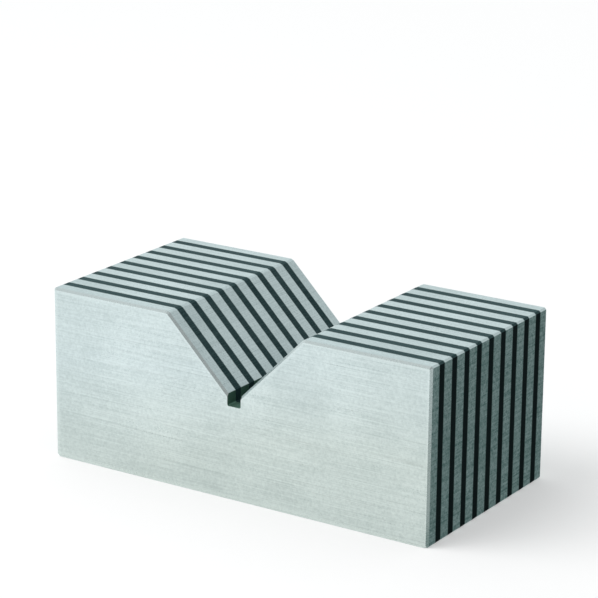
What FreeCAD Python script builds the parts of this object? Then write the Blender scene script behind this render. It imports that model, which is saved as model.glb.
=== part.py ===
"""Laminated magnetic chuck block with a ninety degree vee.

Upright steel pole plates stand one behind the other with a non-magnetic separator between each pair.
The stack is bonded and ground as one block, so every lamination has the same outline.
X runs along the block, Y through the stack from the front plate to the rear one, and Z is up.
The origin is the centre of the ground base. All sizes are in millimetres.
"""
import FreeCAD, Part
import math
import os
import Sketcher
from FreeCAD import Vector

PARTS_FOLDER = "parts"
TOLERANCE = 1e-4

# Driving sizes: name in the sheet, value, what it measures
SIZES = [
    ("block_length", 98.0, "length of the block"),
    ("block_height", 40.0, "height of the block"),
    ("pole_thickness", 3.2, "thickness of a steel pole plate"),
    ("separator_thickness", 2.0, "thickness of a non-magnetic separator"),
    ("vee_mouth", 35.0, "width of the vee at the top face"),
    ("vee_angle", 90.0, "angle between the two flanks of the vee"),
    ("relief_width", 3.5, "width of the relief slot under the vee"),
    ("relief_wall", 2.75, "height of the relief slot's walls, from its floor to the vee's flanks"),
    ("relief_corner", 0.4, "radius at the floor of the relief slot"),
    ("edge_break", 0.4, "chamfer on the long edges that cross the stack"),
    ("face_break", 0.5, "chamfer round the outer face of each end plate"),
]

POLE_COUNT = 10
SEPARATOR_COUNT = POLE_COUNT - 1


def make_sheet(doc):
    """Sheet of driving sizes: one row for each, with an alias that the features refer to."""
    sheet = doc.addObject("Spreadsheet::Sheet", "Sizes")
    for row, (alias, value, meaning) in enumerate(SIZES, start=1):
        sheet.set("A%d" % row, meaning)
        sheet.set("B%d" % row, str(value))
        sheet.setAlias("B%d" % row, alias)
    doc.recompute()
    return sheet


def origin_plane(body, role):
    """Origin plane of the body that has the given role."""
    return next(feature for feature in body.Origin.OriginFeatures if feature.Role == role)


def vee_foot_level(sheet):
    """Height at which the flanks of the vee meet the walls of the relief slot."""
    half_angle = math.radians(sheet.vee_angle) / 2
    flank_run = (sheet.vee_mouth - sheet.relief_width) / 2
    return sheet.block_height - flank_run / math.tan(half_angle)


def slot_floor_level(sheet):
    """Height of the relief slot's floor."""
    return vee_foot_level(sheet) - sheet.relief_wall


def outline_corners(sheet):
    """Start point of each line of the outline, in the order of LINES."""
    half_length = sheet.block_length / 2
    top = sheet.block_height
    half_mouth = sheet.vee_mouth / 2
    half_slot = sheet.relief_width / 2
    foot = vee_foot_level(sheet)
    floor = slot_floor_level(sheet)
    return [
        Vector(-half_length, 0, 0),
        Vector(half_length, 0, 0),
        Vector(half_length, top, 0),
        Vector(half_mouth, top, 0),
        Vector(half_slot, foot, 0),
        Vector(half_slot, floor, 0),
        Vector(-half_slot, floor, 0),
        Vector(-half_slot, foot, 0),
        Vector(-half_mouth, top, 0),
        Vector(-half_length, top, 0),
    ]


# Lines of the outline, counter-clockwise from the lower left corner, seen from the front
LINES = (
    "base",
    "right_end",
    "right_land",
    "right_flank",
    "right_wall",
    "floor",
    "left_wall",
    "left_flank",
    "left_land",
    "left_end",
)
# A sketch counts a whole line as 0, its start point as 1 and its end point as 2
POINTS = ("whole", "start", "end")
# It counts its own axes as -1 and -2
AXES = ("level", "upright")


def point(line, which):
    """Number of a line of the outline and of one of its points."""
    return LINES.index(line), POINTS.index(which)


def axis(which):
    """Number of one of the sketch's own axes."""
    return -1 - AXES.index(which)


def constrain(sketch, kind, *items):
    """Adds a constraint to the sketch and returns its number."""
    return sketch.addConstraint(Sketcher.Constraint(kind, *items))


def dimension(sketch, kind, first, second, value, alias):
    """Dimension between two points of the outline, named after its size and bound to it."""
    number = constrain(sketch, kind, *first, *second, value)
    sketch.renameConstraint(number, alias)
    sketch.setExpression("Constraints." + alias, "Sizes." + alias)


def draw_outline(sketch, sheet):
    """Closed outline with the vee and its relief slot, symmetric about the upright axis."""
    corners = outline_corners(sheet)
    for start, end in zip(corners, corners[1:] + corners[:1]):
        sketch.addGeometry(Part.LineSegment(start, end), False)
    for line, following in zip(LINES, LINES[1:] + LINES[:1]):
        constrain(sketch, "Coincident", *point(line, "end"), *point(following, "start"))
    mirrored = [
        ("base", "base"),
        ("left_land", "right_land"),
        ("left_flank", "right_flank"),
        ("left_wall", "right_wall"),
        ("floor", "floor"),
    ]
    for left, right in mirrored:
        constrain(sketch, "Symmetric", *point(left, "end"), *point(right, "start"), axis("upright"))
    constrain(sketch, "PointOnObject", *point("base", "start"), axis("level"))
    constrain(sketch, "Vertical", LINES.index("right_end"))
    constrain(sketch, "Vertical", LINES.index("right_wall"))
    constrain(sketch, "Horizontal", LINES.index("right_land"))

    base_left, base_right = point("base", "start"), point("base", "end")
    end_top = point("right_end", "end")
    mouth_left, mouth_right = point("left_flank", "end"), point("right_flank", "start")
    foot_right = point("right_wall", "start")
    floor_left, floor_right = point("floor", "end"), point("floor", "start")
    angle = FreeCAD.Units.Quantity(sheet.vee_angle, FreeCAD.Units.Angle)
    dimension(sketch, "DistanceX", base_left, base_right, sheet.block_length, "block_length")
    dimension(sketch, "DistanceY", base_right, end_top, sheet.block_height, "block_height")
    dimension(sketch, "DistanceX", mouth_left, mouth_right, sheet.vee_mouth, "vee_mouth")
    dimension(sketch, "DistanceX", floor_left, floor_right, sheet.relief_width, "relief_width")
    dimension(sketch, "DistanceY", floor_right, foot_right, sheet.relief_wall, "relief_wall")
    dimension(sketch, "Angle", mouth_right, mouth_left, angle, "vee_angle")


def crosses_stack(edge, level):
    """True for an edge that runs through the lamination at one height."""
    box = edge.BoundBox
    across = box.XLength < TOLERANCE and box.ZLength < TOLERANCE
    return across and abs(box.ZMin - level) < TOLERANCE


def lies_on_face(edge, depth, clear_of_slot):
    """True for an edge of the outer face at this depth that isn't part of the relief slot."""
    on_face = all(abs(vertex.Y - depth) < TOLERANCE for vertex in edge.Vertexes)
    return on_face and abs(edge.CenterOfMass.x) > clear_of_slot + TOLERANCE


def edge_names(shape, wanted):
    """Names of the shape's edges for which the test holds."""
    return ["Edge%d" % number for number, edge in enumerate(shape.Edges, start=1) if wanted(edge)]


def add_edge_feature(body, kind, name, base, wanted, size_property, alias):
    """Chamfer or fillet on the picked edges of the base feature, with its size bound to the sheet."""
    feature = body.newObject("PartDesign::" + kind, body.Label + "_" + name)
    feature.Base = (base, edge_names(base.Shape, wanted))
    feature.setExpression(size_property, "Sizes." + alias)
    base.Visibility = False
    body.Document.recompute()
    return feature


def make_lamination(doc, sheet, label, thickness_alias, place, outer_face=None):
    """One lamination: the outline padded to its thickness, slot floor rounded and edges broken.

    place is the expression for the Y of its front face. outer_face is front or rear on an end plate.
    """
    body = doc.addObject("PartDesign::Body", label)
    body.Label = label
    sketch = body.newObject("Sketcher::SketchObject", label + "_outline")
    sketch.AttachmentSupport = [(origin_plane(body, "XZ_Plane"), "")]
    sketch.MapMode = "FlatFace"
    draw_outline(sketch, sheet)
    pad = body.newObject("PartDesign::Pad", label + "_pad")
    pad.Profile = sketch
    pad.Reversed = True
    pad.setExpression("Length", "Sizes." + thickness_alias)
    sketch.Visibility = False
    doc.recompute()

    def floor_edge(edge):
        return crosses_stack(edge, slot_floor_level(sheet))

    def long_edge(edge):
        return crosses_stack(edge, 0) or crosses_stack(edge, sheet.block_height)

    def rim_edge(edge):
        depth = 0 if outer_face == "front" else sheet.get(thickness_alias)
        return lies_on_face(edge, depth, sheet.relief_width / 2)

    tip = add_edge_feature(body, "Fillet", "slot_floor", pad, floor_edge, "Radius", "relief_corner")
    tip = add_edge_feature(body, "Chamfer", "long_edges", tip, long_edge, "Size", "edge_break")
    if outer_face:
        tip = add_edge_feature(body, "Chamfer", "rim", tip, rim_edge, "Size", "face_break")
    body.Tip = tip
    body.setExpression("Placement.Base.y", place)
    return body


def front_face_place(poles_in_front, separators_in_front):
    """Expression for the Y of a lamination's front face, with the stack centred on the origin."""
    stack = "(%d * Sizes.pole_thickness + %d * Sizes.separator_thickness)"
    in_front = stack % (poles_in_front, separators_in_front)
    whole = stack % (POLE_COUNT, SEPARATOR_COUNT)
    return "%s - %s / 2" % (in_front, whole)


def make_pole_plate(doc, sheet, number):
    """Steel pole plate, numbered from the front. The two end plates have their outer rim broken."""
    outer_face = {1: "front", POLE_COUNT: "rear"}.get(number)
    place = front_face_place(number - 1, number - 1)
    return make_lamination(doc, sheet, "pole_plate_%02d" % number, "pole_thickness", place, outer_face)


def make_separator(doc, sheet, number):
    """Non-magnetic separator behind the pole plate of the same number."""
    place = front_face_place(number, number - 1)
    return make_lamination(doc, sheet, "separator_%02d" % number, "separator_thickness", place)


def check_document(doc, bodies):
    """Stops if an object has failed or a lamination has no sound shape."""
    failed = [item.Name for item in doc.Objects if "Invalid" in item.State or "Error" in item.State]
    unsound = [body.Label for body in bodies if body.Shape.isNull() or not body.Shape.isValid()]
    if failed or unsound:
        raise RuntimeError("failed objects: %s, unsound shapes: %s" % (failed, unsound))


def main():
    """Builds the stack, checks it and writes one STEP file for each lamination."""
    doc = FreeCAD.newDocument("chuck_block")
    sheet = make_sheet(doc)
    bodies = [make_pole_plate(doc, sheet, number) for number in range(1, POLE_COUNT + 1)]
    bodies += [make_separator(doc, sheet, number) for number in range(1, SEPARATOR_COUNT + 1)]
    doc.recompute()
    check_document(doc, bodies)
    os.makedirs(PARTS_FOLDER, exist_ok=True)
    for body in bodies:
        body.Shape.exportStep(os.path.join(PARTS_FOLDER, body.Label + ".step"))
        box = body.Shape.BoundBox
        print("%s volume %.1f, Y %.2f to %.2f" % (body.Label, body.Shape.Volume, box.YMin, box.YMax))


main()
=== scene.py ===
"""Laminated magnetic chuck block, ground all over, on a white table in soft studio light.

Lengths are in metres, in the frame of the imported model: X along the block, Y through its stack, Z up.
"""
import math
from functools import cached_property, reduce

import bpy
from mathutils import Matrix, Vector


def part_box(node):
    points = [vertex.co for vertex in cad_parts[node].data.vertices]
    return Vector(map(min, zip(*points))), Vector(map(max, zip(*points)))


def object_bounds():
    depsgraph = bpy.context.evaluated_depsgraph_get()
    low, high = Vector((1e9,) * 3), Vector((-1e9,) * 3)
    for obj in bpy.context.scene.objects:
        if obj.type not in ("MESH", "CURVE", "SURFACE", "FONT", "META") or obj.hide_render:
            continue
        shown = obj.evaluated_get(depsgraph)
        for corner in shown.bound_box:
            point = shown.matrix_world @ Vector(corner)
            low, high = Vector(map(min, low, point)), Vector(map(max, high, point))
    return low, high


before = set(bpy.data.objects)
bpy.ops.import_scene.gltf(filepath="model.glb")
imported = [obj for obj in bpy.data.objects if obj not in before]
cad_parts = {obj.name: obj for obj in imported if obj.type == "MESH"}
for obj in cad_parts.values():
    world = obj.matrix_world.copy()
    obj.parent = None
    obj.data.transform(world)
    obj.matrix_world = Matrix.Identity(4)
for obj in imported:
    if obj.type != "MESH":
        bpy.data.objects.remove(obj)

CAD_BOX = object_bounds()
MM = 0.001

# Block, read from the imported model
FRONT_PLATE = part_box("pole_plate_01")
FRONT_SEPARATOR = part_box("separator_01")
HALF_LENGTH = CAD_BOX[1].x
BLOCK_HEIGHT = CAD_BOX[1].z
STACK_FRONT = CAD_BOX[0].y
PLATE_THICKNESS = FRONT_PLATE[1].y - FRONT_PLATE[0].y
SEPARATOR_THICKNESS = FRONT_SEPARATOR[1].y - FRONT_SEPARATOR[0].y
PITCH = PLATE_THICKNESS + SEPARATOR_THICKNESS

# Vee and its relief slot. The flanks stand at 45 degrees, so they drop as far as they run in
HALF_MOUTH = 17.5 * MM
HALF_SLOT = 1.75 * MM
VEE_FOOT = BLOCK_HEIGHT - (HALF_MOUTH - HALF_SLOT)
SLOT_MARGIN = 0.02 * MM

# Masks that tell faces apart by parts of their normal: nought at the first value, one at the second
SQUARE_ON = (0.80, 0.95)
SLOPED = (0.20, 0.40)
SLANTED = (0.90, 0.80)
CROSSING = (0.40, 0.20)

# Camera, set by matching the block's edges to the photograph
IMAGE_WIDTH = 598
FOCAL_PIXELS = 2643.4
SENSOR_WIDTH = 36.0
CAMERA_AZIMUTH = 32.973
CAMERA_ELEVATION = 17.268
CAMERA_ROLL = 0.512
CAMERA_DISTANCE = 587.81 * MM
CAMERA_AIM = Vector((-1.16, 2.203, 38.82)) * MM
CLIP_START = 0.01
CLIP_END = 50

# Ground steel
STEEL_COLOUR = (0.735, 0.838, 0.843)
STEEL_DARK = (0.508, 0.600, 0.603)
# Warm painted shade, low down and to the right on the front and the rear
STEEL_PAINTED_SHADE = (0.960, 0.943, 0.90)
# Darker band along the outline, and painted shade on the broken edges
STEEL_EDGE_DARK = (0.70, 0.80, 0.80)
STEEL_SCORED = (0.34, 0.40, 0.39)
STEEL_STAINED = (0.16, 0.23, 0.23)
# Painted shade on the ends, partly their own darker, rougher mottled finish
END_SHADE_AND_FINISH = (0.205, 0.325, 0.315)
# Painted shade in the relief slot
SLOT_PAINTED_SHADE = (0.17, 0.31, 0.245)
STEEL_ROUGHNESS = 0.36
SLOT_ROUGHNESS = 0.62
STEEL_ANISOTROPY = 0.4
STEEL_BUMP = 0.030 * MM

# Marks on the steel: length along the grinding direction and width across it
HAIRLINES = (22 * MM, 0.10 * MM)
COARSE_LINES = (16 * MM, 0.42 * MM)
SCORE_LINES = (30 * MM, 0.16 * MM)

# Noise levels between which a score, and the clusters that scores come in, fade in
SCORE_FADE = (0.74, 0.80)
CLUSTER_FADE = (0.45, 0.60)

# Sizes of the steel's blotches
CLOUD_SIZE = 16 * MM
GRAIN_SIZE = 0.55 * MM
PIT_SIZE = 0.60 * MM
# Size of the patches in the warm painted shade
PAINTED_SHADE_PATCH_SIZE = 45 * MM

# Distances from an edge or a joint over which the darker edge band, resin and dust fade in
EDGE_BAND_FADE = (1.15 * MM, 0.60 * MM)
RESIN_REACH = 0.24 * MM
RESIN_REACH_ON_FLANK = 0.12 * MM
RESIN_CORE = 0.06 * MM
DUST_FADE = (0.16 * MM, 0.05 * MM)

# Separators
SEPARATOR_COLOUR = (0.017, 0.044, 0.047)
SEPARATOR_PALE = (0.072, 0.120, 0.123)
# Painted shade that makes the separators nearly black on the ends
SEPARATOR_END_SHADE = (0.001, 0.006, 0.007)
SEPARATOR_GLOSS = (0.80, 1.00, 1.00, 1.0)
SEPARATOR_ROUGHNESS = 0.55
SEPARATOR_SPECULAR = 0.04
SEPARATOR_BUMP = 0.020 * MM
SEPARATOR_HAIRLINES = (9 * MM, 0.12 * MM)
SEPARATOR_GRAIN_SIZE = 0.30 * MM
SEPARATOR_CLOUD_SIZE = 9 * MM

# Surroundings and lamps
WORLD_LEVEL = 0.65
WORLD_TURN = Vector((-0.30, 0.15, 0.0))
WORLD_FRONT = (1.0, 1.0, 1.0)
WORLD_BACK = (0.93, 0.99, 1.0)
WORLD_FADE = (-0.2, 0.8)
SUN_STRENGTH = 1.35
SUN_ANGLE = 40
SUN_FROM = Vector((-0.45, -0.50, 0.85))
SIDE_LAMP_PLACE = Vector((-0.42, -0.30, 0.32))
SIDE_LAMP_WIDTH = 0.40
SIDE_LAMP_POWER = 0.9

# White table
FLOOR_COLOUR = (0.60, 0.60, 0.60)
FLOOR_LIFT = 0.38
FLOOR_HALF_WIDTH = 4.0
FLOOR_DROP = 0.02 * MM

# Cards beside the right end
CARD_DARK = (0.230, 0.287, 0.279)
CARD_PALE = (0.42, 0.45, 0.45)
CARD_NEAR = HALF_LENGTH - 0.4 * MM
CARD_FAR = 0.40
CARD_LOW = -FLOOR_DROP / 2
CARD_HIGH = 0.30
CARD_FRONT = -0.10
CARD_MIDDLE = -0.03
CARD_REAR = 0.60


class Nodes:
    """Adds nodes to one node tree and joins them. A value is a number, a colour or a socket."""

    def __init__(self, tree):
        self.tree = tree
        tree.nodes.clear()

    def add(self, kind, inputs=None, **settings):
        """New node with its settings, and the values of its inputs by name or number."""
        node = self.tree.nodes.new("ShaderNode" + kind)
        for name, value in settings.items():
            setattr(node, name, value)
        for key, value in (inputs or {}).items():
            self.feed(node.inputs[key], value)
        return node

    def feed(self, socket, value):
        """Joins a socket to this input, or sets its value."""
        if isinstance(value, bpy.types.NodeSocket):
            self.tree.links.new(value, socket)
        elif socket.type == "RGBA" and len(value) == 3:
            socket.default_value = (*value, 1.0)
        else:
            socket.default_value = value

    def math(self, operation, *values):
        """Result of one sum."""
        return self.add("Math", dict(enumerate(values)), operation=operation).outputs[0]

    def chain(self, operation, *values):
        """Result of the same sum carried through several values."""
        return reduce(lambda so_far, value: self.math(operation, so_far, value), values)

    def span(self, value, start, end):
        """Smooth step of a value, from nought at the start to one at the end."""
        inputs = {"Value": value, "From Min": start, "From Max": end}
        return self.add("MapRange", inputs, interpolation_type="SMOOTHSTEP").outputs[0]

    def blend(self, share, first, second, kind="MIX"):
        """Colour between two others, or the first one multiplied by the second."""
        node = self.add("Mix", {0: share, 6: first, 7: second}, data_type="RGBA", blend_type=kind)
        return node.outputs[2]

    def between(self, share, first, second):
        """Number between two others."""
        return self.add("Mix", {0: share, 2: first, 3: second}, data_type="FLOAT").outputs[0]

    def about(self, middle, *parts):
        """Middle value moved by noises or shares around a half, each with its weight."""
        total = middle
        for part, weight in parts:
            total = self.math("MULTIPLY_ADD", self.math("SUBTRACT", part, 0.5), weight, total)
        return total

    def noise(self, vector, scale, detail=2.0, roughness=0.5):
        """Noise around a half."""
        inputs = {"Vector": vector, "Scale": scale, "Detail": detail, "Roughness": roughness}
        return self.add("TexNoise", inputs).outputs[0]

    def stretched(self, vector, scales):
        """Vector scaled along each axis."""
        return self.add("VectorMath", {0: vector, 1: scales}, operation="MULTIPLY").outputs[0]


class Block:
    """Sockets that say where on the block a point lies and which of its faces it is on."""

    def __init__(self, nodes):
        place = nodes.add("TexCoord")
        self.nodes = nodes
        self.vector = place.outputs["Object"]
        point = nodes.add("SeparateXYZ", {0: self.vector}).outputs
        normal = nodes.add("SeparateXYZ", {0: place.outputs["Normal"]}).outputs
        self.x, self.z = point[0], point[2]
        self.side = nodes.math("ABSOLUTE", self.x)
        self.behind = nodes.math("SUBTRACT", point[1], STACK_FRONT)
        self.facing_end = nodes.math("ABSOLUTE", normal[0])
        self.facing_front = nodes.math("ABSOLUTE", normal[1])
        self.facing_top = nodes.math("ABSOLUTE", normal[2])

    @cached_property
    def on_end(self):
        """One on the two ends of the block."""
        nodes = self.nodes
        beyond_slot = nodes.math("GREATER_THAN", self.side, HALF_MOUTH)
        return nodes.math("MULTIPLY", nodes.span(self.facing_end, *SQUARE_ON), beyond_slot)

    @cached_property
    def across_stack(self):
        """One on every face that crosses the laminations."""
        return self.nodes.span(self.facing_front, *CROSSING)

    @cached_property
    def on_flank(self):
        """One on the flanks of the vee."""
        nodes = self.nodes
        inside = nodes.math("LESS_THAN", self.side, HALF_MOUTH)
        sloped = nodes.math("MULTIPLY", self.facing_end, self.facing_top)
        return nodes.math("MULTIPLY", nodes.span(sloped, *SLOPED), inside)

    @cached_property
    def on_break(self):
        """One on the narrow slanted faces that break the edges."""
        nodes = self.nodes
        squareness = nodes.chain("MAXIMUM", self.facing_end, self.facing_front, self.facing_top)
        off_flank = nodes.math("SUBTRACT", 1.0, self.on_flank)
        return nodes.math("MULTIPLY", nodes.span(squareness, *SLANTED), off_flank)

    @cached_property
    def in_slot(self):
        """One on the walls and the floor of the relief slot."""
        nodes = self.nodes
        between_walls = nodes.math("LESS_THAN", self.side, HALF_SLOT + SLOT_MARGIN)
        below_foot = nodes.math("LESS_THAN", self.z, VEE_FOOT)
        above_base = nodes.math("GREATER_THAN", self.z, VEE_FOOT / 2)
        return nodes.chain("MULTIPLY", between_walls, below_foot, above_base, self.across_stack)

    @cached_property
    def turned(self):
        """One on the vee and the ends, which were ground through the stack and not lengthwise."""
        return self.nodes.math("MAXIMUM", self.on_flank, self.on_end)

    def grinding_direction(self):
        """Vector along the grinding marks."""
        lengthwise = self.nodes.math("SUBTRACT", 1.0, self.turned)
        return self.nodes.add("CombineXYZ", {0: lengthwise, 1: self.turned, 2: 0.0}).outputs[0]

    def plate_number(self):
        """Number of the plate in the stack, counted from the front."""
        return self.nodes.math("FLOOR", self.nodes.math("DIVIDE", self.behind, PITCH))

    def to_joint(self, start, thickness):
        """Distance to the nearest joint in a lamination that starts this far into the pitch."""
        nodes = self.nodes
        inside = nodes.math("SUBTRACT", nodes.math("MODULO", self.behind, PITCH), start)
        rest = nodes.math("SUBTRACT", thickness, inside)
        return nodes.math("MINIMUM", inside, rest)

    def to_outline(self):
        """Distance to the nearest edge of the outline, measured in the plane of a plate."""
        nodes = self.nodes
        below_top = nodes.math("SUBTRACT", BLOCK_HEIGHT, self.z)
        inside_end = nodes.math("SUBTRACT", HALF_LENGTH, self.side)
        past_mouth = nodes.math("SUBTRACT", nodes.math("ADD", self.side, below_top), HALF_MOUTH)
        past_flank = nodes.math("MULTIPLY", past_mouth, math.sqrt(0.5))
        return nodes.chain("MINIMUM", below_top, self.z, inside_end, past_flank)

    def marks(self, along, across, detail=2.0):
        """Noise drawn out along the grinding direction of each face."""
        nodes = self.nodes
        lengthwise = nodes.stretched(self.vector, (1 / along, 1 / across, 1 / across))
        through = nodes.stretched(self.vector, (1 / across, 1 / along, 1 / across))
        noises = [nodes.noise(vector, 1.0, detail) for vector in (lengthwise, through)]
        return nodes.between(self.turned, *noises)

    def spots(self, size, detail=2.0, roughness=0.5):
        """Noise of the same size in every direction."""
        return self.nodes.noise(self.vector, 1 / size, detail, roughness)


class SteelFinish:
    """Sockets for the look of ground steel: marks, scores, warm painted shade, a darker band along the
    outline and resin stains.
    """

    def __init__(self, nodes, block):
        self.nodes = nodes
        self.block = block
        self.hairlines = block.marks(*HAIRLINES)
        self.lines = block.marks(*COARSE_LINES, detail=3.0)
        self.cloud = block.spots(CLOUD_SIZE, 3.0, 0.55)
        self.grain = block.spots(GRAIN_SIZE, 2.0, 0.6)
        self.pits = block.spots(PIT_SIZE, 4.0, 0.75)

    @cached_property
    def warm_painted_shade(self):
        """Share of the warm painted shade on the front and the rear, most of it low down and to the
        right.
        """
        nodes, block = self.nodes, self.block
        rightward = nodes.span(block.x, -HALF_LENGTH, HALF_LENGTH)
        downward = nodes.span(block.z, BLOCK_HEIGHT, 0.0)
        uneven = block.spots(PAINTED_SHADE_PATCH_SIZE, 1.0)
        shade_share = nodes.about(0.55, (rightward, 0.6), (downward, 1.3), (uneven, 0.7))
        shade_share = nodes.math("MAXIMUM", nodes.math("MINIMUM", shade_share, 1.0), 0.0)
        return nodes.math("MULTIPLY", shade_share, block.facing_front)

    @cached_property
    def scores(self):
        """One along a few deeper scores, which come in clusters."""
        nodes = self.nodes
        score = nodes.span(self.block.marks(*SCORE_LINES, detail=0.0), *SCORE_FADE)
        return nodes.math("MULTIPLY", score, nodes.span(self.cloud, *CLUSTER_FADE))

    @cached_property
    def darker_edge_band(self):
        """One in an uneven band along the outline of the front and the rear."""
        nodes, block = self.nodes, self.block
        edge = nodes.about(block.to_outline(), (self.cloud, 1.6 * MM), (self.grain, 0.5 * MM))
        return nodes.math("MULTIPLY", nodes.span(edge, *EDGE_BAND_FADE), block.facing_front)

    @cached_property
    def resin(self):
        """One where resin stains the steel, right beside a joint."""
        nodes, block = self.nodes, self.block
        joint = nodes.about(block.to_joint(0.0, PLATE_THICKNESS), (self.grain, 0.20 * MM))
        reach = nodes.between(block.on_flank, RESIN_REACH, RESIN_REACH_ON_FLANK)
        return nodes.math("MULTIPLY", nodes.span(joint, reach, RESIN_CORE), block.across_stack)

    def plate_tone(self):
        """Tone of a plate's own."""
        number = self.block.plate_number()
        return self.nodes.add("TexWhiteNoise", {"W": number}, noise_dimensions="1D").outputs[0]

    def colour(self):
        """Satin grey with warm painted shade low down to the right, painted shade on the broken edges,
        in the slot and on the ends, a darker band along the outline, and resin at the joints.
        """
        nodes, block = self.nodes, self.block
        bright = nodes.about(0.50, (self.hairlines, 1.9), (self.lines, 1.1), (self.cloud, 0.7),
                             (self.grain, 1.4), (self.plate_tone(), 0.25))
        colour = nodes.blend(bright, STEEL_DARK, STEEL_COLOUR)
        mottling = nodes.about(0.50, (self.pits, 3.0), (self.hairlines, 1.8), (self.lines, 1.6))
        layers = [
            # Painted shade on the ends, partly their own darker, rougher mottled finish
            (block.on_end, mottling, END_SHADE_AND_FINISH),
            # Darker, smoother band along the outline
            (self.darker_edge_band, 0.4, STEEL_EDGE_DARK),
            # Painted shade on the broken edges
            (block.on_break, 0.5, STEEL_EDGE_DARK),
            (self.scores, 0.35, STEEL_SCORED),
            (self.resin, 0.8, STEEL_STAINED),
        ]
        for mask, share, tone in layers:
            colour = nodes.blend(nodes.math("MULTIPLY", mask, share), colour, tone)
        # Warm painted shade, low down and to the right
        colour = nodes.blend(self.warm_painted_shade, colour, STEEL_PAINTED_SHADE, "MULTIPLY")
        # Painted shade in the slot
        return nodes.blend(block.in_slot, colour, SLOT_PAINTED_SHADE)

    def roughness(self):
        """Satin, smoother in the darker band along the outline, rougher on the ends, and dull in the
        slot.
        """
        nodes, block = self.nodes, self.block
        roughness = nodes.about(STEEL_ROUGHNESS, (self.lines, 0.30), (self.hairlines, 0.25),
                                (self.cloud, -0.20), (self.grain, 0.15))
        roughness = nodes.math("MULTIPLY_ADD", block.on_end, 0.10, roughness)
        roughness = nodes.math("MULTIPLY_ADD", self.darker_edge_band, -0.07, roughness)
        return nodes.between(block.in_slot, roughness, SLOT_ROUGHNESS)

    def height(self):
        """Height of the grinding marks, with scores as grooves, and flatter on the broken edges."""
        nodes, block = self.nodes, self.block
        height = nodes.about(0.5, (self.hairlines, 0.6), (self.lines, 0.5), (self.grain, 0.25))
        height = nodes.math("MULTIPLY_ADD", self.scores, -0.6, height)
        pitting = nodes.math("MULTIPLY", block.on_end, self.pits)
        height = nodes.math("MULTIPLY_ADD", pitting, 1.2, height)
        return nodes.math("MULTIPLY", height, nodes.math("MULTIPLY_ADD", block.on_break, -0.8, 1.0))


def new_material(name):
    """Empty node material, its nodes and its output."""
    material = bpy.data.materials.new(name)
    material.use_nodes = True
    nodes = Nodes(material.node_tree)
    return material, nodes, nodes.add("OutputMaterial")


def make_steel():
    """Surface-ground steel of the pole plates."""
    material, nodes, output = new_material("ground_steel")
    block = Block(nodes)
    finish = SteelFinish(nodes, block)
    bump = nodes.add("Bump", {"Strength": 0.8, "Distance": STEEL_BUMP, "Height": finish.height()})
    shader = nodes.add("BsdfPrincipled", {
        "Base Color": finish.colour(),
        "Metallic": 1.0,
        "Roughness": finish.roughness(),
        "Anisotropic": STEEL_ANISOTROPY,
        "Tangent": block.grinding_direction(),
        "Normal": bump.outputs[0],
    })
    nodes.feed(output.inputs["Surface"], shader.outputs[0])
    return material


def make_separator():
    """Dark resin of the separators, ground flush: matt, with steel dust rubbed in at the joints, and
    painted shade that makes them nearly black on the ends.
    """
    material, nodes, output = new_material("dark_separator")
    block = Block(nodes)
    hairlines = block.marks(*SEPARATOR_HAIRLINES)
    grain = block.spots(SEPARATOR_GRAIN_SIZE, 3.0, 0.6)
    cloud = block.spots(SEPARATOR_CLOUD_SIZE, 3.0)
    pale = nodes.about(0.22, (hairlines, 1.5), (grain, 1.3), (cloud, 0.6))
    colour = nodes.blend(pale, SEPARATOR_COLOUR, SEPARATOR_PALE)
    # Painted shade: the separators nearly black on the ends
    colour = nodes.blend(nodes.math("MULTIPLY", block.on_end, 0.95), colour, SEPARATOR_END_SHADE)
    joint = nodes.about(block.to_joint(PLATE_THICKNESS, SEPARATOR_THICKNESS), (grain, 0.25 * MM))
    thinning = nodes.math("MULTIPLY_ADD", block.on_end, -0.25, 0.35)
    dust = nodes.chain("MULTIPLY", nodes.span(joint, *DUST_FADE), block.across_stack, thinning)
    colour = nodes.blend(dust, colour, SEPARATOR_PALE)
    roughness = nodes.about(SEPARATOR_ROUGHNESS, (hairlines, 0.25), (grain, 0.25), (cloud, 0.15))
    height = nodes.about(0.5, (hairlines, 0.7), (grain, 0.6))
    bump = nodes.add("Bump", {"Strength": 0.5, "Distance": SEPARATOR_BUMP, "Height": height})
    shader = nodes.add("BsdfPrincipled", {
        "Base Color": colour,
        "Roughness": roughness,
        "Specular IOR Level": SEPARATOR_SPECULAR,
        "Specular Tint": SEPARATOR_GLOSS,
        "Normal": bump.outputs[0],
    })
    nodes.feed(output.inputs["Surface"], shader.outputs[0])
    return material


def dress_block():
    """Steel on the pole plates and dark resin on the separators."""
    steel = make_steel()
    separator = make_separator()
    for name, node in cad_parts.items():
        node.data.materials.clear()
        node.data.materials.append(steel if name.startswith("pole_plate") else separator)


def make_camera():
    """Camera at the photograph's place, with its slight roll."""
    azimuth = math.radians(CAMERA_AZIMUTH)
    elevation = math.radians(CAMERA_ELEVATION)
    roll = math.radians(CAMERA_ROLL)
    level = Vector((math.sin(azimuth), -math.cos(azimuth), 0))
    back = level * math.cos(elevation) + Vector((0, 0, math.sin(elevation)))
    right = Vector((math.cos(azimuth), math.sin(azimuth), 0))
    up = back.cross(right)
    rolled_right = right * math.cos(roll) + up * math.sin(roll)
    rolled_up = up * math.cos(roll) - right * math.sin(roll)
    turn = Matrix((rolled_right, rolled_up, back)).transposed().to_quaternion()
    data = bpy.data.cameras.new("camera")
    data.sensor_width = SENSOR_WIDTH
    data.lens = FOCAL_PIXELS / IMAGE_WIDTH * SENSOR_WIDTH
    data.clip_start = CLIP_START
    data.clip_end = CLIP_END
    camera = bpy.data.objects.new("camera", data)
    camera.matrix_world = Matrix.LocRotScale(CAMERA_AIM + back * CAMERA_DISTANCE, turn, None)
    bpy.context.scene.collection.objects.link(camera)
    bpy.context.scene.camera = camera


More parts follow.
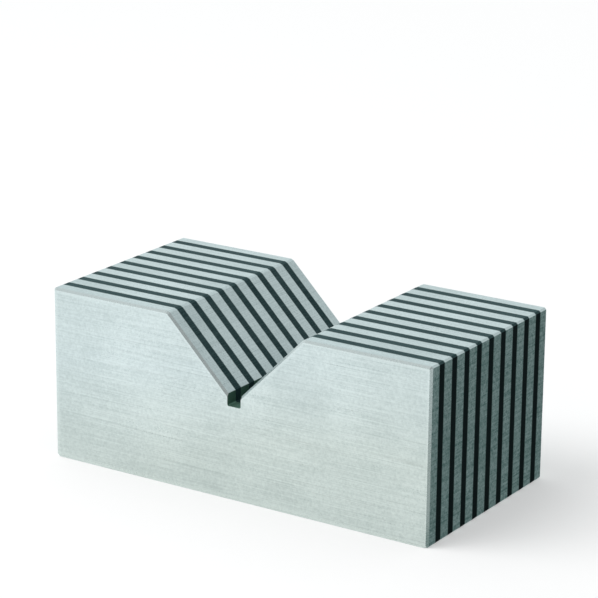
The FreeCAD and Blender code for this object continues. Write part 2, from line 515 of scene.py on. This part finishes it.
def make_card(name, corners, material):
    """Flat stage piece with these corners."""
    mesh = bpy.data.meshes.new(name)
    mesh.from_pydata(corners, [], [range(len(corners))])
    mesh.materials.append(material)
    card = bpy.data.objects.new(name, mesh)
    bpy.context.scene.collection.objects.link(card)
    return card


def even_material(name, colour):
    """Material of one even tone, whatever the light."""
    material, nodes, output = new_material(name)
    nodes.feed(output.inputs["Surface"], nodes.add("Emission", {"Color": colour}).outputs[0])
    return material


def make_floor():
    """White table that the block stands on, lifted a little so that it shows as white."""
    material, nodes, output = new_material("white_table")
    matt = nodes.add("BsdfDiffuse", {"Color": FLOOR_COLOUR})
    ray = nodes.add("LightPath").outputs
    kinds = ("Is Camera Ray", "Is Glossy Ray", "Is Transmission Ray")
    seen = nodes.chain("MAXIMUM", *[ray[kind] for kind in kinds])
    lift = nodes.add("Emission", {"Strength": nodes.math("MULTIPLY", seen, FLOOR_LIFT)})
    both = nodes.add("AddShader", {0: matt.outputs[0], 1: lift.outputs[0]})
    nodes.feed(output.inputs["Surface"], both.outputs[0])
    near, far, level = -FLOOR_HALF_WIDTH, FLOOR_HALF_WIDTH, CAD_BOX[0].z - FLOOR_DROP
    corners = [(near, near, level), (far, near, level), (far, far, level), (near, far, level)]
    make_card("floor", corners, material)


def lying(front, rear):
    """Corners of a card that lies beside the right end, between two depths."""
    near, far, level = CARD_NEAR, CARD_FAR, CARD_LOW
    return [(near, front, level), (far, front, level), (far, rear, level), (near, rear, level)]


def standing(front, rear):
    """Corners of a card that stands on the far edge of the lying ones."""
    far, low, high = CARD_FAR, CARD_LOW, CARD_HIGH
    return [(far, front, low), (far, front, high), (far, rear, high), (far, rear, low)]


def make_cards():
    """Cards beside the right end, seen only in its reflection, that keep it in shade.

    Two are dark. A paler one in front is mirrored in the broken edge between the end and the front.
    """
    dark = even_material("dark_card", CARD_DARK)
    pale = even_material("pale_card", CARD_PALE)
    cards = [
        make_card("front_card", lying(CARD_FRONT, CARD_MIDDLE), pale),
        make_card("lying_card", lying(CARD_MIDDLE, CARD_REAR), dark),
        make_card("standing_card", standing(CARD_MIDDLE, CARD_REAR), dark),
    ]
    for card in cards:
        card.visible_camera = False
        card.visible_diffuse = False
        card.visible_shadow = False


def make_world():
    """Pale surroundings, brightest at the left and the back, and cooler at the back."""
    world = bpy.data.worlds.new("studio")
    bpy.context.scene.world = world
    world.use_nodes = True
    nodes = Nodes(world.node_tree)
    direction = nodes.add("TexCoord").outputs["Generated"]
    turn = nodes.add("VectorMath", {0: direction, 1: WORLD_TURN}, operation="DOT_PRODUCT")
    level = nodes.math("ADD", turn.outputs["Value"], WORLD_LEVEL)
    backward = nodes.add("SeparateXYZ", {0: direction}).outputs[1]
    colour = nodes.blend(nodes.span(backward, *WORLD_FADE), WORLD_FRONT, WORLD_BACK)
    background = nodes.add("Background", {"Color": colour, "Strength": level})
    nodes.feed(nodes.add("OutputWorld").inputs["Surface"], background.outputs[0])


def make_lamp(name, kind, towards):
    """Lamp that shines from this direction and isn't mirrored in the steel."""
    data = bpy.data.lights.new(name, kind)
    lamp = bpy.data.objects.new(name, data)
    lamp.rotation_mode = "QUATERNION"
    lamp.rotation_quaternion = towards.to_track_quat("Z", "Y")
    lamp.visible_glossy = False
    bpy.context.scene.collection.objects.link(lamp)
    return lamp


def make_lamps():
    """Broad soft lamp from the front left, and a nearer one beside it that fades towards the right."""
    broad = make_lamp("broad_lamp", "SUN", SUN_FROM)
    broad.data.energy = SUN_STRENGTH
    broad.data.angle = math.radians(SUN_ANGLE)
    side = make_lamp("side_lamp", "AREA", SIDE_LAMP_PLACE)
    side.location = SIDE_LAMP_PLACE
    side.data.size = SIDE_LAMP_WIDTH
    side.data.energy = SIDE_LAMP_POWER


bpy.context.scene.view_settings.view_transform = "Standard"
make_camera()
make_world()
make_lamps()
make_floor()
make_cards()
dress_block()
